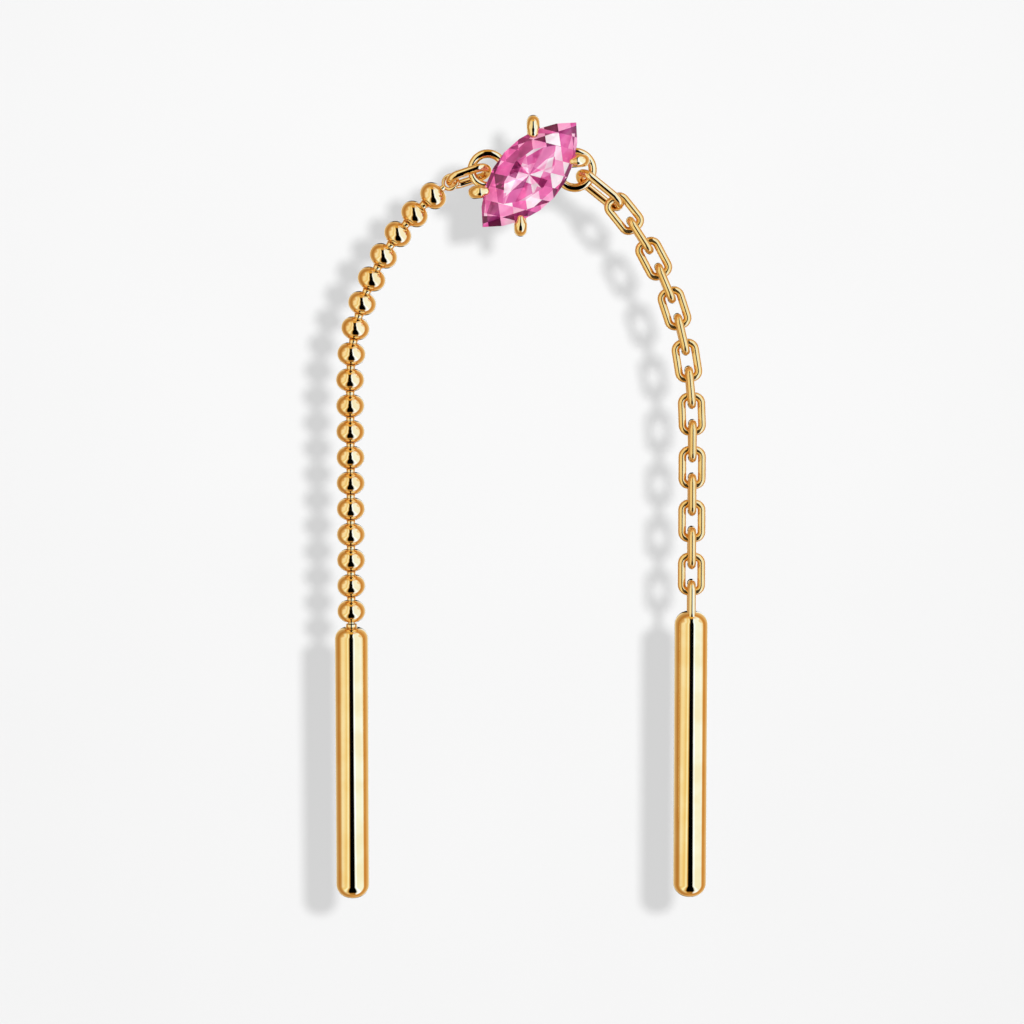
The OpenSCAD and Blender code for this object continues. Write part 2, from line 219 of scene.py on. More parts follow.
def makeStone():
    look = stoneLook
    material, n = newMaterial("pinkStone")
    place = n.add("ShaderNodeTexCoord", output="Object")
    tint = n.add("ShaderNodeAttribute", {"attribute_name": "tint"}, output="Fac")
    zones = n.add(
        "ShaderNodeTexNoise", {}, {"Vector": place, "Scale": look["zoneScale"], "Detail": 2}
    )
    # each facet's painted light and shade, wandering a little within the facet
    shade = tint + look["zoneShare"] * (zones - 0.5)
    clear = n.add("ShaderNodeBsdfPrincipled", {}, {
        "Base Color": n.add("ShaderNodeValToRGB", {"stops": look["clearPaintedTones"]}, {0: shade}),
        "Roughness": 0,
        "IOR": look["ior"],
        "Transmission Weight": look["clear"],
        "Specular Tint": (*look["sheen"], 1),
    })
    flatTone = n.add("ShaderNodeValToRGB", {"stops": look["flatPaintedTones"]}, {0: shade})
    flat = n.add("ShaderNodeBsdfPrincipled", {}, {
        "Base Color": flatTone,
        # painted glow: the facets' painted tones are also emitted as light
        "Emission Color": flatTone,
        "Emission Strength": look["flatPaintedGlow"],
        "Roughness": look["flatRough"],
        "Specular IOR Level": look["flatMirror"],
        "Specular Tint": (*look["sheen"], 1),
    })
    solid = n.add("ShaderNodeAttribute", {"attribute_name": "solid"}, output="Fac")
    mixed = n.add("ShaderNodeMixShader", {}, {0: solid, 1: clear, 2: flat})
    n.add("ShaderNodeOutputMaterial", {}, {"Surface": mixed})
    return material


# Mesh helpers. Wires lie in the plane of X and Z until they are spun or swept.

seam = 0.00002 * mm  # points nearer than this are one point


def middleOf(node):
    low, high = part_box(node)
    return (low + high) / 2


def lean(degrees):  # about Y: a positive lean takes the top to +X
    return Matrix.Rotation(math.radians(degrees), 4, "Y")


def turn(degrees, axis="Z"):
    return Matrix.Rotation(math.radians(degrees), 4, axis)


def dotsOf(geometry):
    return [v for v in geometry if isinstance(v, bmesh.types.BMVert)]


def ringEdges(geometry):
    return [e for e in geometry if isinstance(e, bmesh.types.BMEdge)]


def arcWire(bm, centre, radius, start, end, steps):
    # A run of edges on an arc, angles from +X towards +Z
    angle = math.radians(start)
    first = bm.verts.new((
        centre[0] + radius * math.cos(angle), 0, centre[1] + radius * math.sin(angle)
    ))
    made = bmesh.ops.spin(
        bm, geom=[first], cent=(centre[0], 0, centre[1]), axis=(0, -1, 0),
        angle=math.radians(end - start), steps=steps,
    )
    return first, dotsOf(made["geom_last"])[0]


def pointWire(bm, places):
    # A run of edges through points
    dots = [bm.verts.new((x, 0, z)) for x, z in places]
    for a, b in zip(dots, dots[1:]):
        bm.edges.new((a, b))
    return dots[0], dots[-1]


def closeSeam(bm):
    bmesh.ops.remove_doubles(bm, verts=bm.verts[:], dist=seam)


def joinWires(bm, wires, closed=False):
    pairs = list(zip(wires, wires[1:] + wires[:1])) if closed else list(zip(wires, wires[1:]))
    for one, two in pairs:
        if (one[1].co - two[0].co).length > seam / 2:
            bm.edges.new((one[1], two[0]))
    bmesh.ops.remove_doubles(bm, verts=bm.verts[:], dist=seam / 2)


def spinRound(bm, steps):  # turns the wires once round Z
    bmesh.ops.spin(
        bm, geom=bm.verts[:] + bm.edges[:], cent=(0, 0, 0), axis=(0, 0, 1),
        angle=math.tau, steps=steps, use_merge=True,
    )
    closeSeam(bm)


def roundSection(bm, radius, sides, placing):
    disc = bmesh.ops.create_circle(bm, segments=sides, radius=radius, matrix=placing)
    return list({e for v in disc["verts"] for e in v.link_edges})


def pullSection(bm, edges, by):  # draws a section out straight, and returns its new end
    made = bmesh.ops.extrude_edge_only(bm, edges=edges)["geom"]
    verts = dotsOf(made)
    bmesh.ops.translate(bm, verts=verts, vec=by)
    return verts, [e for e in ringEdges(made) if all(v in verts for v in e.verts)]


def bendSection(bm, edges, centre, axis, angle, steps):  # draws it out round a bend
    verts = list({v for e in edges for v in e.verts})
    made = bmesh.ops.spin(
        bm, geom=verts + edges, cent=centre, axis=axis, angle=math.radians(angle), steps=steps,
    )
    return ringEdges(made["geom_last"])


def sweepWire(bm, wireR, sides, start, runs):
    # Takes a round section, placed at start, along straight runs and bends
    edges = roundSection(bm, wireR, sides, start)
    for run in runs:
        if "along" in run:
            edges = pullSection(bm, edges, run["along"])[1]
        else:
            edges = bendSection(bm, edges, **run)
    closeSeam(bm)


def addMesh(bm, other, placing):  # puts a placed copy of one bmesh into another
    mesh = bpy.data.meshes.new("part")
    other.to_mesh(mesh)
    mesh.transform(placing)
    bm.from_mesh(mesh)
    bpy.data.meshes.remove(mesh)


def makePiece(name, bm, body, nodes, material, sharp=38):
    bmesh.ops.recalc_face_normals(bm, faces=bm.faces[:])
    for face in bm.faces:
        face.smooth = True
    mesh = bpy.data.meshes.new(name)
    bm.to_mesh(mesh)
    bm.free()
    mesh.set_sharp_from_angle(angle=math.radians(sharp))
    mesh.materials.append(material)
    piece = bpy.data.objects.new(name, mesh)
    scene.collection.objects.link(piece)
    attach(piece, body)
    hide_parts(*nodes)


# Stone: the frame's own cut, with its front divided into finer facets

stoneSize = {
    "turn": 48,  # the long axis from level; the cuts count it from upright, 6 degrees off it
    "halfWidth": 1.2 * mm,
    "halfLength": 2.5 * mm,
    "starCuts": [0, 22, 58, 90, 122, 158],  # through the table's middle, degrees
    "ringCuts": [  # degrees, and distance from the middle as a share of the half width
        (25, 0.30), (-25, 0.34), (155, 0.33), (205, 0.29), (62, 0.24), (242, 0.25),
        (12, 0.52), (192, 0.5), (-38, 0.62), (142, 0.58),
    ],
    "rimCuts": [  # the same, for the small facets along the outline
        (0, 0.8), (24, 0.95), (-24, 0.95), (42, 1.22), (-42, 1.22),
        (180, 0.8), (204, 0.95), (156, 0.95), (222, 1.22), (138, 1.22),
    ],
    "crownCuts": [-0.82, -0.6, -0.36, -0.12, 0.12, 0.36, 0.6, 0.82],  # along the half length
    "crownSlope": 34,
    "tableFacing": -0.999,  # Y of a facet's normal, up to which it is table, or crown
    "crownFacing": 0.1,
    "nearDots": 0.0001 * mm,
    "flatEdge": 0.01,  # edges bent less than this, in radians, aren't facet edges
}
stonePaintedLight = {  # painted light per facet: 0 is the darkest painted shade, and 1 the whitest painted highlight
    "table": [0.8, 1.0, 0.5, 0.95, 0.42, 0.55, 1.0, 0.88, 0.45, 0.78, 0.5, 0.62],  # round it
    "tableSpread": (-0.3, 0.2),
    "crown": [0.12, 0.28, 0.44, 0.56, 0.7, 0.86, 1.0],
    # painted shade: the facets along the outline are the darkest
    "rim": [0.02, 0.12, 0.2, 0.28, 0.4, 0.5, 0.8],
    "back": 0.84,
    "backSpread": (-0.1, 0.1),
    "solid": {"table": 0.4, "crown": 0.6, "back": 0.0},  # share of the flat pink
    "seed": 5,
}


def partOf(face):
    if face.normal.y < stoneSize["tableFacing"]:
        return "table"
    return "crown" if face.normal.y < stoneSize["crownFacing"] else "back"


def cutFront(bm, part, place, along, distance=0):
    # Cuts the facets of one part of the stone along a line, at a distance from a place
    def touches(item):
        return any(partOf(f) == part for f in item.link_faces)
    faces = [f for f in bm.faces if partOf(f) == part]
    edges = [e for e in bm.edges if touches(e)]
    dots = [v for v in bm.verts if touches(v)]
    across = turn(stoneSize["turn"] + along, "Y") @ Vector((1, 0, 0))
    at = place + across * distance
    bmesh.ops.bisect_plane(
        bm, geom=faces + edges + dots, dist=stoneSize["nearDots"], plane_co=at, plane_no=across,
    )
    return at, across


def paintedLightOf(face, middle, rims, lines, dice, known):
    size, paintedLights = stoneSize, stonePaintedLight
    part = partOf(face)
    centre = face.calc_center_median()
    place = turn(-size["turn"], "Y") @ (centre - middle)
    u, v = place.x / size["halfWidth"], place.z / size["halfLength"]
    # painted highlights and shade, by sector round the table's middle
    if part == "table":
        round360 = math.degrees(math.atan2(u, v)) % 360
        sector = int(round360 / 360 * len(paintedLights["table"]))
        return paintedLights["table"][sector] + dice.uniform(*paintedLights["tableSpread"])
    if part == "back":
        return paintedLights["back"] + dice.uniform(*paintedLights["backSpread"])
    # All that lies on the same sides of the cuts is one facet, with one painted light or shade
    # value
    beyond = [(centre - at).dot(across) > 0 for at, across in rims]
    facet = (u > 0, *beyond, *((centre - at).dot(across) > 0 for at, across in lines))
    if facet not in known:
        known[facet] = dice.choice(paintedLights["rim"] if any(beyond) else paintedLights["crown"])
    return known[facet]


def makeStonePiece():
    s = stoneSize
    bm = bmesh.new()
    bm.from_mesh(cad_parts["stone"].data)
    bmesh.ops.remove_doubles(bm, verts=bm.verts[:], dist=s["nearDots"])
    bmesh.ops.dissolve_limit(
        bm, angle_limit=s["flatEdge"], verts=bm.verts[:], edges=bm.edges[:]
    )
    middle = middleOf("stone")
    for along in s["starCuts"]:
        cutFront(bm, "table", middle, along)
    for along, share in s["ringCuts"]:
        cutFront(bm, "table", middle, along, share * s["halfWidth"])
    rims = [
        cutFront(bm, "crown", middle, along, share * s["halfWidth"])
        for along, share in s["rimCuts"]
    ]
    axis = turn(s["turn"], "Y") @ Vector((0, 0, s["halfLength"]))
    lines = [
        cutFront(bm, "crown", middle + axis * share, 90 + slope)
        for share in s["crownCuts"] for slope in (-s["crownSlope"], s["crownSlope"])
    ]
    dice, known = random.Random(stonePaintedLight["seed"]), {}
    # each facet gets its painted light and shade, and its share of the flat pink
    tint, solid = [bm.faces.layers.float.new(name) for name in ("tint", "solid")]
    for face in bm.faces:
        face[tint] = paintedLightOf(face, middle, rims, lines, dice, known)
        face[solid] = stonePaintedLight["solid"][partOf(face)]
    return bm


makePiece(
    "stone_cut", makeStonePiece(), "strands", ["stone"], makeStone(), sharp=0.5
)
print("stone made")


# Beads

beadSize = {
    "count": 18,
    "sideR": 0.405 * mm,
    "coreR": 0.11 * mm,
    "wall": 0.09 * mm,
    "holeR": 0.2 * mm,
    "lean": 49,
    "bend": 8,
    "loopLean": 52,
}
neckSize = {
    "r": 0.155 * mm,
    "flareR": 0.27 * mm,
    "flareTop": 0.11 * mm,
    "lip": 0.014 * mm,  # straight edge of the collar, below its flare
    "headR": 0.24 * mm,
    "headFrom": 0.203 * mm,
    "headTo": 0.284 * mm,
}


def stepLean(i):
    return beadSize["lean"] * max(0, 1 - (i + 0.5) / beadSize["bend"])


def beadLean(i):
    above = beadSize["loopLean"] if i == 0 else stepLean(i - 1)
    below = 0 if i == beadSize["count"] - 1 else stepLean(i)
    return (above + below) / 2


def makeBead():
    s = beadSize
    bm = bmesh.new()
    core, side, inside = s["coreR"], s["sideR"], s["sideR"] - s["wall"]
    outEnd = math.degrees(math.acos((s["holeR"] - core) / side))
    inEnd = math.degrees(math.acos((s["holeR"] - core) / inside))
    wires = [
        arcWire(bm, (core, 0), side, -outEnd, outEnd, 24),
        arcWire(bm, (core, 0), inside, inEnd, -inEnd, 10),
    ]
    joinWires(bm, wires, closed=True)
    spinRound(bm, 44)
    return bm


beadPlaces = []
for i in range(beadSize["count"]):
    node = f"bead_{i + 1:02d}"
    beadPlaces.append(middleOf(node))
    bm = makeBead()
    bm.transform(Matrix.Translation(beadPlaces[i]) @ lean(beadLean(i)))
    makePiece(f"{node}_gold", bm, "strands", [node], beadGold)
print("beads made")


def makeNeck():
    s = neckSize
    bm = bmesh.new()
    r, flare = s["r"], s["flareR"] - s["r"]
    flareFoot = s["flareTop"] - flare - s["lip"]
    wires = [
        pointWire(bm, [
            (0, -s["headTo"]), (s["headR"], -s["headTo"]), (s["headR"], -s["headFrom"]),
            (r, -s["headFrom"]), (r, flareFoot),
        ]),
        arcWire(bm, (s["flareR"], flareFoot), flare, 180, 90, 8),
        pointWire(bm, [
            (s["flareR"], s["flareTop"]), (r, s["flareTop"]), (r, s["headFrom"]),
            (s["headR"], s["headFrom"]), (s["headR"], s["headTo"]), (0, s["headTo"]),
        ]),
    ]
    joinWires(bm, wires)
    spinRound(bm, 28)
    return bm


bm = bmesh.new()
for i in range(beadSize["count"] - 1):
    neck = makeNeck()
    between = (beadPlaces[i] + beadPlaces[i + 1]) / 2
    addMesh(bm, neck, Matrix.Translation(between) @ lean(stepLean(i)))
    neck.free()
makePiece("bead_necks_gold", bm, "strands", ["bead_necks"], beadGold)
print("necks made")


# Loop at the strand's top

loopSize = {
    "r": 0.275 * mm,
    "wire": 0.13 * mm,
    "neckR": 0.11625 * mm,
    "neckShows": 0.05 * mm,
    "rootR": 0.9,  # the neck's start inside the loop, as a share of neckR
    "rootLen": 0.6,  # and its length, as a share of the wire
    "headR": 0.24 * mm,
    "headT": 0.081 * mm,
    "headGap": 0.02 * mm,
    "turn": -28,
}


def makeLoop(neckLen):
    s = loopSize
    bm = bmesh.new()
    sweepWire(bm, s["wire"] / 2, 20, Matrix.Translation((s["r"], 0, 0)), [
        {"centre": (0, 0, 0), "axis": (0, 1, 0), "angle": 360, "steps": 48},
    ])
    stem = bmesh.new()
    top = -s["r"]
    bottom = top - neckLen
    pointWire(stem, [
        (0, top), (s["neckR"] * s["rootR"], top), (s["neckR"], top - s["wire"] * s["rootLen"]),
        (s["neckR"], bottom + s["headT"]), (s["headR"], bottom + s["headT"]),
        (s["headR"], bottom), (0, bottom),
    ])
    spinRound(stem, 28)
    addMesh(bm, stem, Matrix.Identity(4))
    stem.free()
    return bm


# The loop's middle lies up the first bead's line, past its neck
headZ = math.sqrt(
    (beadSize["sideR"] - beadSize["wall"]) ** 2 - (neckSize["headR"] - beadSize["coreR"]) ** 2
) - loopSize["headGap"]
aboveBead = loopSize["wire"] / 2 + loopSize["neckShows"] + beadSize["sideR"]
loopUp = loopSize["r"] + aboveBead
loopAt = beadPlaces[0] + lean(beadSize["loopLean"]) @ Vector((0, 0, loopUp))
bm = makeLoop(aboveBead - headZ + loopSize["headT"])
bm.transform(
    Matrix.Translation(loopAt) @ lean(beadSize["loopLean"]) @ turn(loopSize["turn"])
)
makePiece("bead_loop_gold", bm, "strands", ["bead_loop"], beadGold)
print("loop made")


# Joining links

joiningSize = {
    "r": 0.36 * mm,
    "wire": 0.3 * mm,
    "beadLength": 1.72 * mm,
    "chainLength": 2.1 * mm,
    "beadLean": 72,
    "chainLean": 129,
    "roll": 28,
}


def makeOval(length):
    s = joiningSize
    straight = length - s["wire"] - 2 * s["r"]
    bm = bmesh.new()
    start = Matrix.Translation((0, s["r"], -straight / 2))
    sweepWire(bm, s["wire"] / 2, 28, start, [
        {"along": (0, 0, straight)},
        {"centre": (0, 0, straight / 2), "axis": (1, 0, 0), "angle": 180, "steps": 24},
        {"along": (0, 0, -straight)},
        {"centre": (0, 0, -straight / 2), "axis": (1, 0, 0), "angle": 180, "steps": 24},
    ])
    return bm


for strand in ("bead", "chain"):
    node = f"{strand}_joining_link"
    bm = makeOval(joiningSize[f"{strand}Length"])
    bm.transform(
        Matrix.Translation(middleOf(node))
        @ lean(joiningSize[f"{strand}Lean"]) @ turn(-joiningSize["roll"])
    )
    makePiece(f"{node}_gold", bm, "strands", [node], beadGold)
print("joining links made")


# Cable chain

linkSize = {
    "count": 16,
    "length": 1.575 * mm,
    "width": 1.0 * mm,
    "corner": 0.39 * mm,
    "wire": 0.29 * mm,
    "lean": 39,
    "bend": 9,
    "power": 1.3,
}


def linkLean(i):
    s = linkSize
    return -s["lean"] * max(0, 1 - i / s["bend"]) ** s["power"]


def makeLink():
    s = linkSize
    flatW, flatL = s["width"] - 2 * s["corner"], s["length"] - 2 * s["corner"]
    side = (s["width"] - s["wire"]) / 2
    bm = bmesh.new()
    runs = []
    for cx, cz, along in [  # each corner's middle, and the straight before it
        (flatW / 2, flatL / 2, (0, 0, flatL)),
        (-flatW / 2, flatL / 2, (-flatW, 0, 0)),
        (-flatW / 2, -flatL / 2, (0, 0, -flatL)),
        (flatW / 2, -flatL / 2, (flatW, 0, 0)),
    ]:
        runs.append({"along": along})
        runs.append({"centre": (cx, 0, cz), "axis": (0, -1, 0), "angle": 90, "steps": 9})
    sweepWire(bm, s["wire"] / 2, 24, Matrix.Translation((side, 0, -flatL / 2)), runs)
    return bm


for i in range(linkSize["count"] - 1):
    node = f"link_{i + 1:02d}"
    bm = makeLink()
    bm.transform(
        Matrix.Translation(middleOf(node)) @ lean(linkLean(i)) @ turn(90 if i % 2 else 0)
    )
    makePiece(f"{node}_gold", bm, "strands", [node], linkGold)
print("chain made")


# Bars

barSize = {
    "r": 0.61 * mm,
    "leftLength": 10.05 * mm,
    "rightLength": 10.6 * mm,
    "topRound": 0.69 * 0.61 * mm,
    "endRound": 0.82 * 0.61 * mm,
    "neckR": 0.2 * mm,
    "waistR": 0.13 * mm,
    "neckTop": 0.62 * 0.19 * mm,
    "fillet": 0.06 * mm,
    "taper": 0.03 * mm,
    "ballR": 0.2511 * mm,
    "linkSink": 0.4 * mm,
}


def barWires(bm, length, topRound, top):
    s = barSize
    r, end = s["r"], s["endRound"]
    return [
        pointWire(bm, [(0, -length), (r - end, -length)]),
        arcWire(bm, (r - end, end - length), end, -90, 0, 14),
        arcWire(bm, (r - topRound, -topRound), topRound, 0, 90, 12),
        top,
    ]


def makeLeftBar(ballUp):
    s = barSize
    bm = bmesh.new()
    neckTop, fillet = s["neckTop"], s["fillet"]
    ballStart = math.degrees(math.asin(s["waistR"] / s["ballR"]))
    wires = barWires(
        bm, s["leftLength"], s["topRound"], pointWire(bm, [(s["neckR"] + fillet, 0)])
    )
    wires += [
        arcWire(bm, (s["neckR"] + fillet, fillet), fillet, -90, -180, 6),
        pointWire(bm, [(s["neckR"], neckTop), (s["waistR"], neckTop + s["taper"])]),
        arcWire(bm, (0, ballUp), s["ballR"], ballStart - 90, 90, 16),
    ]
    joinWires(bm, wires)
    spinRound(bm, 72)
    return bm


def makeRightBar():
    bm = bmesh.new()
    wires = barWires(bm, barSize["rightLength"], barSize["endRound"], pointWire(bm, [(0, 0)]))
    joinWires(bm, wires)
    spinRound(bm, 72)
    return bm


low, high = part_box("bar_left")
leftTop = Vector(((low.x + high.x) / 2, 0, low.z + barSize["leftLength"]))
bm = makeLeftBar(high.z - barSize["ballR"] - leftTop.z)
bm.transform(Matrix.Translation(leftTop))
makePiece("bar_left_gold", bm, "left_bar", ["bar_left"], barGold)

low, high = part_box("bar_right")
rightTop = Vector(((low.x + high.x) / 2, 0, low.z + barSize["rightLength"]))
bm = makeRightBar()
lastLink = makeLink()
addMesh(bm, lastLink, Matrix.Translation(
    (0, 0, linkSize["length"] / 2 - barSize["linkSink"])
) @ turn(90))
lastLink.free()
bm.transform(Matrix.Translation(rightTop))
makePiece("bar_right_gold", bm, "right_bar", ["bar_right"], barGold)
print("bars made")


# Setting

settingSize = {
    "girdleY": -0.8 * mm,
    "railLength": 1.43 * mm,
    "railWidth": 0.894 * mm,
    "railBand": 0.38 * mm,
    "railFront": -0.0517 * mm,
    "railDepth": 0.36 * mm,
    "railEdge": 0.06 * mm,
    "sharpAngle": 1.2,  # edges bent more than this, in radians, are rounded
    "ringWire": 0.31 * mm,
    "leftRing": 0.58 * mm,
    "rightRing": 0.64 * mm,
    "ringRise": 0.19 * mm,
}
clawSize = {
    "rows": [  # end, side, place along the stone, radius of the tip
        (1, 1, 0.5, 0.19 * mm), (-1, 1, 0.61, 0.14 * mm),
        (1, -1, 0.57, 0.11 * mm), (-1, -1, 0.57, 0.14 * mm),
    ],
    "r": 0.232 * mm,
    "head": 0.06 * mm,
    "taper": 0.1 * mm,
    "splay": 41.5,
    "tipOut": 0.0308 * mm,
    "tipFront": 0.369 * mm,
    "bendR": 0.24 * mm,
    "legR": 0.19 * mm,
    "footIn": 0.55 * mm,
}


def arcRadius(a, b):
    return (a * a + b * b) / (2 * b)


def makeRail():
    s = settingSize
    bm = bmesh.new()
    a, b = s["railLength"], s["railWidth"]
    r = arcRadius(a, b)
    reach = math.degrees(math.asin(a / r))
    arcWire(bm, (0, b - r), r, 90 - reach, 90 + reach, 24)
    arcWire(bm, (0, r - b), r, 270 - reach, 270 + reach, 24)
    closeSeam(bm)
    sheet = bmesh.ops.contextual_create(bm, geom=bm.edges[:])["faces"]
    bmesh.ops.inset_region(bm, faces=sheet, thickness=s["railBand"], use_even_offset=True)
    bmesh.ops.delete(bm, geom=sheet, context="FACES")
    band = bmesh.ops.extrude_face_region(bm, geom=bm.faces[:], use_keep_orig=True)["geom"]
    bmesh.ops.translate(bm, verts=dotsOf(band), vec=(0, s["railDepth"], 0))
    bmesh.ops.recalc_face_normals(bm, faces=bm.faces[:])
    rims = [e for e in bm.edges if e.is_manifold and e.calc_face_angle() > s["sharpAngle"]]
    bmesh.ops.bevel(
        bm, geom=rims, offset=s["railEdge"], offset_type="OFFSET", segments=3, profile=0.5,
        affect="EDGES", material=-1,
    )
    bm.transform(Matrix.Translation((0, s["railFront"], 0)) @ lean(-stoneSize["turn"]))
    return bm


def makeClaw(row):
    # From its tip over the girdle, round the bend and back to the rail. Local X goes outward
    # and local Y to the back, from the stone's outline.
    s, c, stone = settingSize, clawSize, stoneSize
    end, side, place, tipR = row
    u = end * place * stone["halfLength"]
    r = arcRadius(stone["halfLength"], stone["halfWidth"])
    v = side * (math.sqrt(r * r - u * u) - (r - stone["halfWidth"]))
    splay = math.degrees(math.atan2(
        side * math.sin(math.radians(c["splay"])), end * math.cos(math.radians(c["splay"]))
    ))
    bendX, bendY = c["tipOut"] + c["head"], c["bendR"] - c["tipFront"]
    footX = -c["footIn"] - bendX
    footY = s["railFront"] + s["railDepth"] / 2 - s["girdleY"] - bendY
    footLen = math.hypot(footX, footY)
    slant = math.degrees(math.atan2(-footX, footY)) + math.degrees(
        math.asin(c["bendR"] / footLen)
    )
    bm = bmesh.new()
    # The head's section stands across X, its middle at the bend's start
    start = Matrix.Translation((bendX, bendY - c["bendR"], 0)) @ turn(90, "Y")
    edges = roundSection(bm, c["r"], 28, start)
    # Tip: the section moves inward and narrows, and closes round
    headLen = c["head"] + c["taper"]
    steps = [(headLen * k / 5, c["r"] + (tipR - c["r"]) * (k / 5)) for k in range(1, 6)]
    steps += [
        (headLen + tipR * math.sin(a), tipR * math.cos(a))
        for a in [math.radians(15 * k) for k in range(1, 6)]
    ]
    now, radius, ring = 0, c["r"], edges
    for depth, newR in steps:
        verts, ring = pullSection(bm, ring, (now - depth, 0, 0))
        bmesh.ops.scale(
            bm, verts=verts, vec=(1, newR / radius, newR / radius),
            space=Matrix.Translation((0, c["bendR"] - bendY, 0)),
        )
        now, radius = depth, newR
    cap = bmesh.ops.contextual_create(bm, geom=ring)["faces"]
    bmesh.ops.poke(bm, faces=cap)
    # Bend, then the leg back to the rail
    ring = bendSection(bm, edges, (bendX, bendY, 0), (0, 0, 1), 90 + slant, 14)
    run = math.sqrt(footLen ** 2 - c["bendR"] ** 2)
    heading = Vector((-math.sin(math.radians(slant)), math.cos(math.radians(slant)), 0))
    verts, ring = pullSection(bm, ring, heading * run)
    foot = Vector((bendX, bendY, 0)) + Vector((
        c["bendR"] * math.cos(math.radians(slant)), c["bendR"] * math.sin(math.radians(slant)), 0
    )) + heading * run
    bmesh.ops.scale(
        bm, verts=verts, vec=[c["legR"] / c["r"]] * 3, space=Matrix.Translation(-foot)
    )
    bmesh.ops.contextual_create(bm, geom=ring)
    spot = lean(-stone["turn"]) @ Vector((u, 0, v))
    bm.transform(
        Matrix.Translation((spot.x, s["girdleY"], spot.z)) @ lean(-stone["turn"] - splay)
    )
    return bm


def makeRing(radius, wire):
    bm = bmesh.new()
    sweepWire(bm, wire / 2, 28, Matrix.Translation((radius, 0, 0)), [
        {"centre": (0, 0, 0), "axis": (0, 1, 0), "angle": 360, "steps": 64},
    ])
    return bm


bm = makeRail()
for row in clawSize["rows"]:
    claw = makeClaw(row)
    addMesh(bm, claw, Matrix.Identity(4))
    claw.free()
low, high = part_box("setting")
for x, radius in [
    (low.x + settingSize["leftRing"] + settingSize["ringWire"] / 2, settingSize["leftRing"]),
    (high.x - settingSize["rightRing"] - settingSize["ringWire"] / 2, settingSize["rightRing"]),
]:
    ring = makeRing(radius, settingSize["ringWire"])
    addMesh(bm, ring, Matrix.Translation((x, 0, settingSize["ringRise"])))
    ring.free()
makePiece("setting_gold", bm, "strands", ["setting"], settingGold)
print("setting made")


# Stage: a pale wall that curves into a low floor

stageSize = {
    "wallY": 110 * mm,
    "floorZ": -125 * mm,
    "sweep": 35 * mm,
    "half": 900 * mm,
    "height": 300 * mm,
    "front": -900 * mm,
    "greys": [0.245, 0.255],  # of its own colour
    "glows": [0.422, 0.45, 0.68],  # of the upper wall, the lower wall and the floor
    "lowerWall": (-25 * mm, -95 * mm),
    "floorStart": 0.8,  # share of the sweep's height at which the floor's glow sets in
}


def makeStage():
    s = stageSize
    bm = bmesh.new()
    low = bm.verts.new((-s["half"], s["front"], s["floorZ"]))
    flat = bm.verts.new((-s["half"], s["wallY"] - s["sweep"], s["floorZ"]))
    bm.edges.new((low, flat))
    bend = bmesh.ops.spin(
        bm, geom=[flat], cent=(0, s["wallY"] - s["sweep"], s["floorZ"] + s["sweep"]),
        axis=(1, 0, 0), angle=math.radians(90), steps=24,
    )["geom_last"]
    top = dotsOf(bend)[0]
    high = bm.verts.new((-s["half"], s["wallY"], s["height"]))
    bm.edges.new((top, high))
    made = bmesh.ops.extrude_edge_only(bm, edges=bm.edges[:])["geom"]
    bmesh.ops.translate(bm, verts=dotsOf(made), vec=(2 * s["half"], 0, 0))
    for face in bm.faces:
        face.smooth = True
    mesh = bpy.data.meshes.new("stage")
    bm.to_mesh(mesh)
    bm.free()
    stage = bpy.data.objects.new("stage", mesh)
    scene.collection.objects.link(stage)
    material, n = newMaterial("paleWall")
    place = n.add("ShaderNodeTexCoord", output="Object")
    grain = n.add("ShaderNodeTexNoise", {}, {"Vector": place, "Scale": 60, "Detail": 2})
    dark, light = [(v, v, v) for v in s["greys"]]
    tone = n.mix(grain, dark, light)
    height = n.add("ShaderNodeSeparateXYZ", {}, {0: place}, "Z")
    upper, lower, floor = [(v, v, v) for v in s["glows"]]
    # The lamp lights the lower wall less, and the floor least, so these glow more
    glow = n.mix(n.smooth(height, *s["lowerWall"]), upper, lower)
    floorTop = s["floorZ"] + s["floorStart"] * s["sweep"]
    glow = n.mix(n.smooth(height, floorTop, s["floorZ"]), glow, floor)
    shader = n.add("ShaderNodeBsdfPrincipled", {}, {
        "Base Color": tone,
        "Roughness": 0.9,
        "Specular IOR Level": 0,
        "Emission Color": glow,
        "Emission Strength": 1,
    })
    n.add("ShaderNodeOutputMaterial", {}, {"Surface": shader})
    mesh.materials.append(material)
    stage.visible_glossy = False
    stage.visible_diffuse = False
    return stage


stage = makeStage()
print("stage made")


# Light: a room of soft panels round the piece, and one small lamp beside the camera

def stoneLight(n, x, z):
    # The same room as the stone gathers it: whiter, with a bright patch and soft rosy gaps
    gaps = n.smooth(x, -0.24, -0.16) * n.smooth(x, 0.24, 0.16)
    low = n.smooth(z, -0.45, -0.8)
    patch = n.smooth(x, 0.3, 0.5) * n.smooth(z, -0.1, 0.25)
    light = n.mix(patch, (1.25, 1.15, 1.13), (2.8, 2.7, 2.5))
    return n.mix(0.8 * gaps + 0.35 * low * (1 - gaps), light, (0.12, 0.03, 0.06))


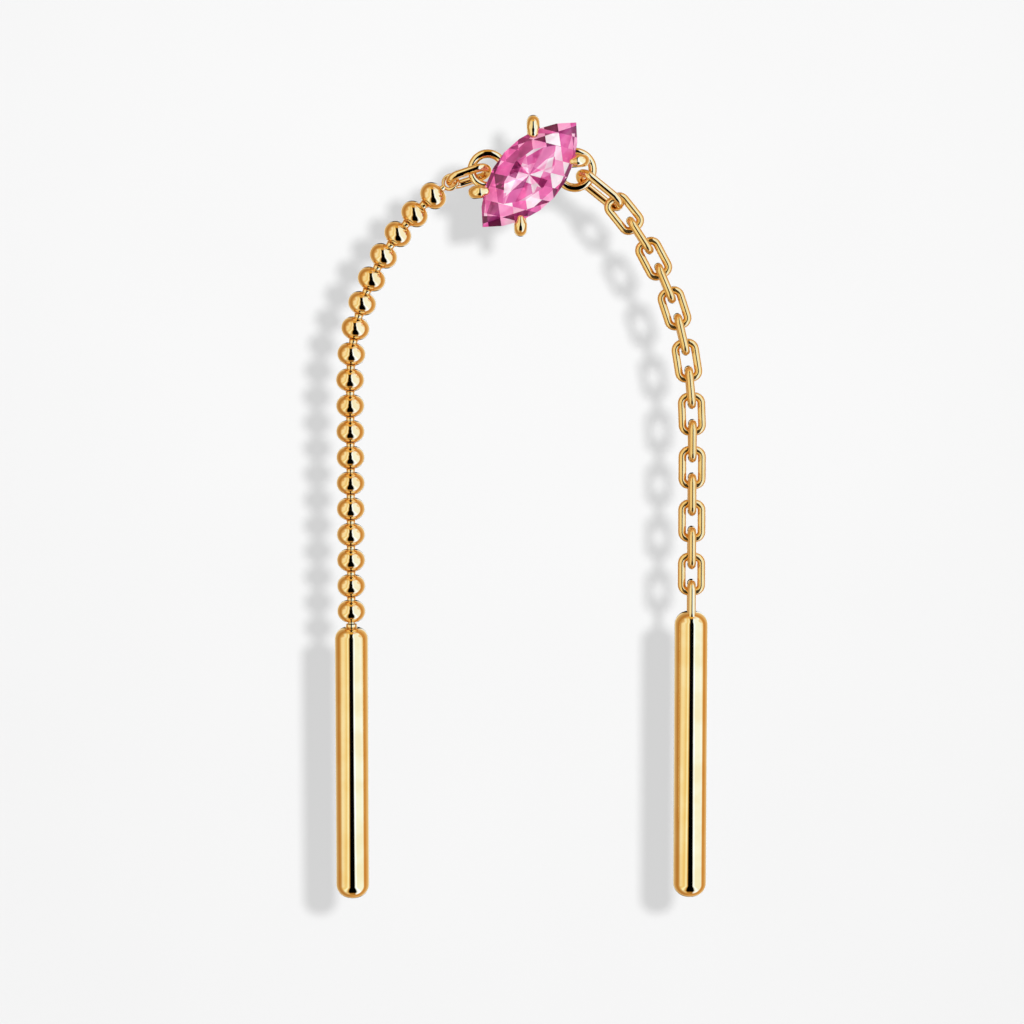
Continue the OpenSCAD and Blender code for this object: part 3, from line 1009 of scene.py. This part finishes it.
roomLook = {  # places run from -1 to 1
    "strength": 4,
    "stoneStrength": 2,
    "pale": 0.94,  # what lights the piece, but isn't mirrored
    "belt": [  # across the front of the room, left to right, as seen from the piece
        (-1.00, (0.80, 0.64, 0.45)), (-0.97, (0.93, 0.90, 0.82)), (-0.90, (0.99, 1.08, 1.15)),
        (-0.80, (1.00, 1.13, 1.28)), (-0.66, (0.96, 0.98, 0.88)), (-0.55, (0.90, 0.84, 0.58)),
        (-0.46, (0.98, 1.05, 0.95)), (-0.37, (1.08, 1.40, 1.75)), (-0.25, (0.70, 0.50, 0.20)),
        (-0.19, (0, 0, 0)), (0.21, (0, 0, 0)), (0.27, (1.00, 1.40, 2.60)),
        (0.34, (1.10, 1.70, 3.80)), (0.44, (1.00, 1.35, 2.15)), (0.80, (0.99, 1.34, 2.10)),
        (0.92, (1.02, 1.40, 2.40)), (0.975, (0.99, 1.25, 1.80)), (1.00, (0.95, 1.00, 1.10)),
    ],
    "rear": [  # from straight behind the piece round to beside it
        (-1, (0.78, 0.64, 0.46)), (-0.7, (0.80, 0.66, 0.47)), (-0.46, (0.72, 0.52, 0.32)),
        (-0.26, (0.60, 0.34, 0.13)), (-0.08, (0.66, 0.40, 0.16)), (0.06, (0.72, 0.50, 0.25)),
    ],
    "back": [  # straight behind, left to right: two pale panels with a dark gap
        (-0.80, (0.76, 0.58, 0.38)), (-0.55, (0.92, 0.90, 0.78)), (-0.27, (1.00, 1.12, 1.20)),
        (-0.20, (0.50, 0.34, 0.12)), (-0.14, (0, 0, 0)), (0.11, (0, 0, 0)),
        (0.18, (1.05, 1.35, 2.00)), (0.50, (0.96, 1.05, 1.05)), (0.80, (0.76, 0.58, 0.38)),
    ],
    "ceiling": (0.87, 0.58, 0.16),
    "floor": (0.78, 0.48, 0.17),
}


def shareOf(colour):  # a panel's colour, before the room's strength multiplies it
    return [v / roomLook["strength"] for v in colour]


def panelRamp(n, panels, way):
    stops = [((place + 1) / 2, shareOf(colour)) for place, colour in panels]
    return n.add("ShaderNodeValToRGB", {"stops": stops}, {0: (way + 1) / 2})


def makeRoom():
    look = roomLook
    world = bpy.data.worlds.new("studio")
    scene.world = world
    world.use_nodes = True
    n = NodeMaker(world.node_tree)
    way = n.add("ShaderNodeTexCoord", output="Generated")
    x, y, z = [n.add("ShaderNodeSeparateXYZ", {}, {0: way}, axis) for axis in "XYZ"]
    front = 0 - y
    # The panels are wider below the piece, and narrower above it and straight under it
    spread = 1 + 0.75 * n.smooth(z, -0.1, -0.6) - 0.85 * n.smooth(z, -0.78, -0.97)
    spread = spread - 0.28 * n.smooth(z, 0.15, 0.6)
    belt = panelRamp(n, look["belt"], x / spread)
    behind = panelRamp(n, look["rear"], front)
    back = panelRamp(n, look["back"], x)
    behind = n.mix(0.2 * n.smooth(x, 0.1, -0.3), behind, (0, 0, 0))
    behind = n.mix(n.smooth(front, -0.7, -0.9), behind, back)
    edge = front * (1 + 1.6 * n.smooth(x, -0.2, 0.2))  # soft on the left, crisp on the right
    room = n.mix(n.smooth(edge, 0.02, 0.36), behind, belt)
    high = n.smooth(z, 0.8, 0.96) * n.smooth(front, 0, 0.3)
    room = n.mix(high, room, shareOf(look["ceiling"]))
    low = n.smooth(z, -0.86, -0.98) * n.smooth(front, 0, 0.3)
    room = n.mix(0.75 * low, room, shareOf(look["floor"]))
    studio = n.add("ShaderNodeBackground", {}, {0: room, 1: look["strength"]})
    pale = n.add("ShaderNodeBackground", {}, {0: (*[look["pale"]] * 3, 1), 1: 1})
    gem = n.add(
        "ShaderNodeBackground", {}, {0: stoneLight(n, x, z), 1: look["stoneStrength"]}
    )
    mirrored = n.add("ShaderNodeLightPath", output="Is Glossy Ray")
    bent = n.add("ShaderNodeLightPath", output="Is Transmission Ray")
    both = n.add("ShaderNodeMixShader", {}, {0: mirrored, 1: pale, 2: studio})
    both = n.add("ShaderNodeMixShader", {}, {0: bent, 1: both, 2: gem})
    n.add("ShaderNodeOutputWorld", {}, {0: both})


makeRoom()

lampSize = {"across": 1.0 * mm, "offset": (2.34 * mm, 0, 1.2 * mm), "power": 0.546}
cameraPlace = {
    "at": (-0.62 * mm, -103.032 * mm, -1.371 * mm),
    "down": 5.4,
    "lens": 100,
    "shift": -0.029,
    "near": 0.001,
    "far": 5,
}

camera = bpy.data.objects.new("camera", bpy.data.cameras.new("camera"))
scene.collection.objects.link(camera)
camera.location = cameraPlace["at"]
camera.rotation_euler = (math.radians(90 - cameraPlace["down"]), 0, 0)
camera.data.lens = cameraPlace["lens"]
camera.data.shift_y = cameraPlace["shift"]
camera.data.clip_start = cameraPlace["near"]
camera.data.clip_end = cameraPlace["far"]
scene.camera = camera

lamp = bpy.data.objects.new("lamp", bpy.data.lights.new("lamp", "AREA"))
scene.collection.objects.link(lamp)
lamp.data.shape = "DISK"
lamp.data.size = lampSize["across"]
lamp.data.energy = lampSize["power"]
lamp.location = Vector(cameraPlace["at"]) + Vector(lampSize["offset"])
lamp.rotation_euler = (math.radians(90), 0, 0)
lamp.visible_glossy = False
lamp.visible_transmission = False
lit = bpy.data.collections.new("lit")
lit.objects.link(stage)
lamp.light_linking.receiver_collection = lit
scene.view_settings.view_transform = "Standard"
print("light and camera made")
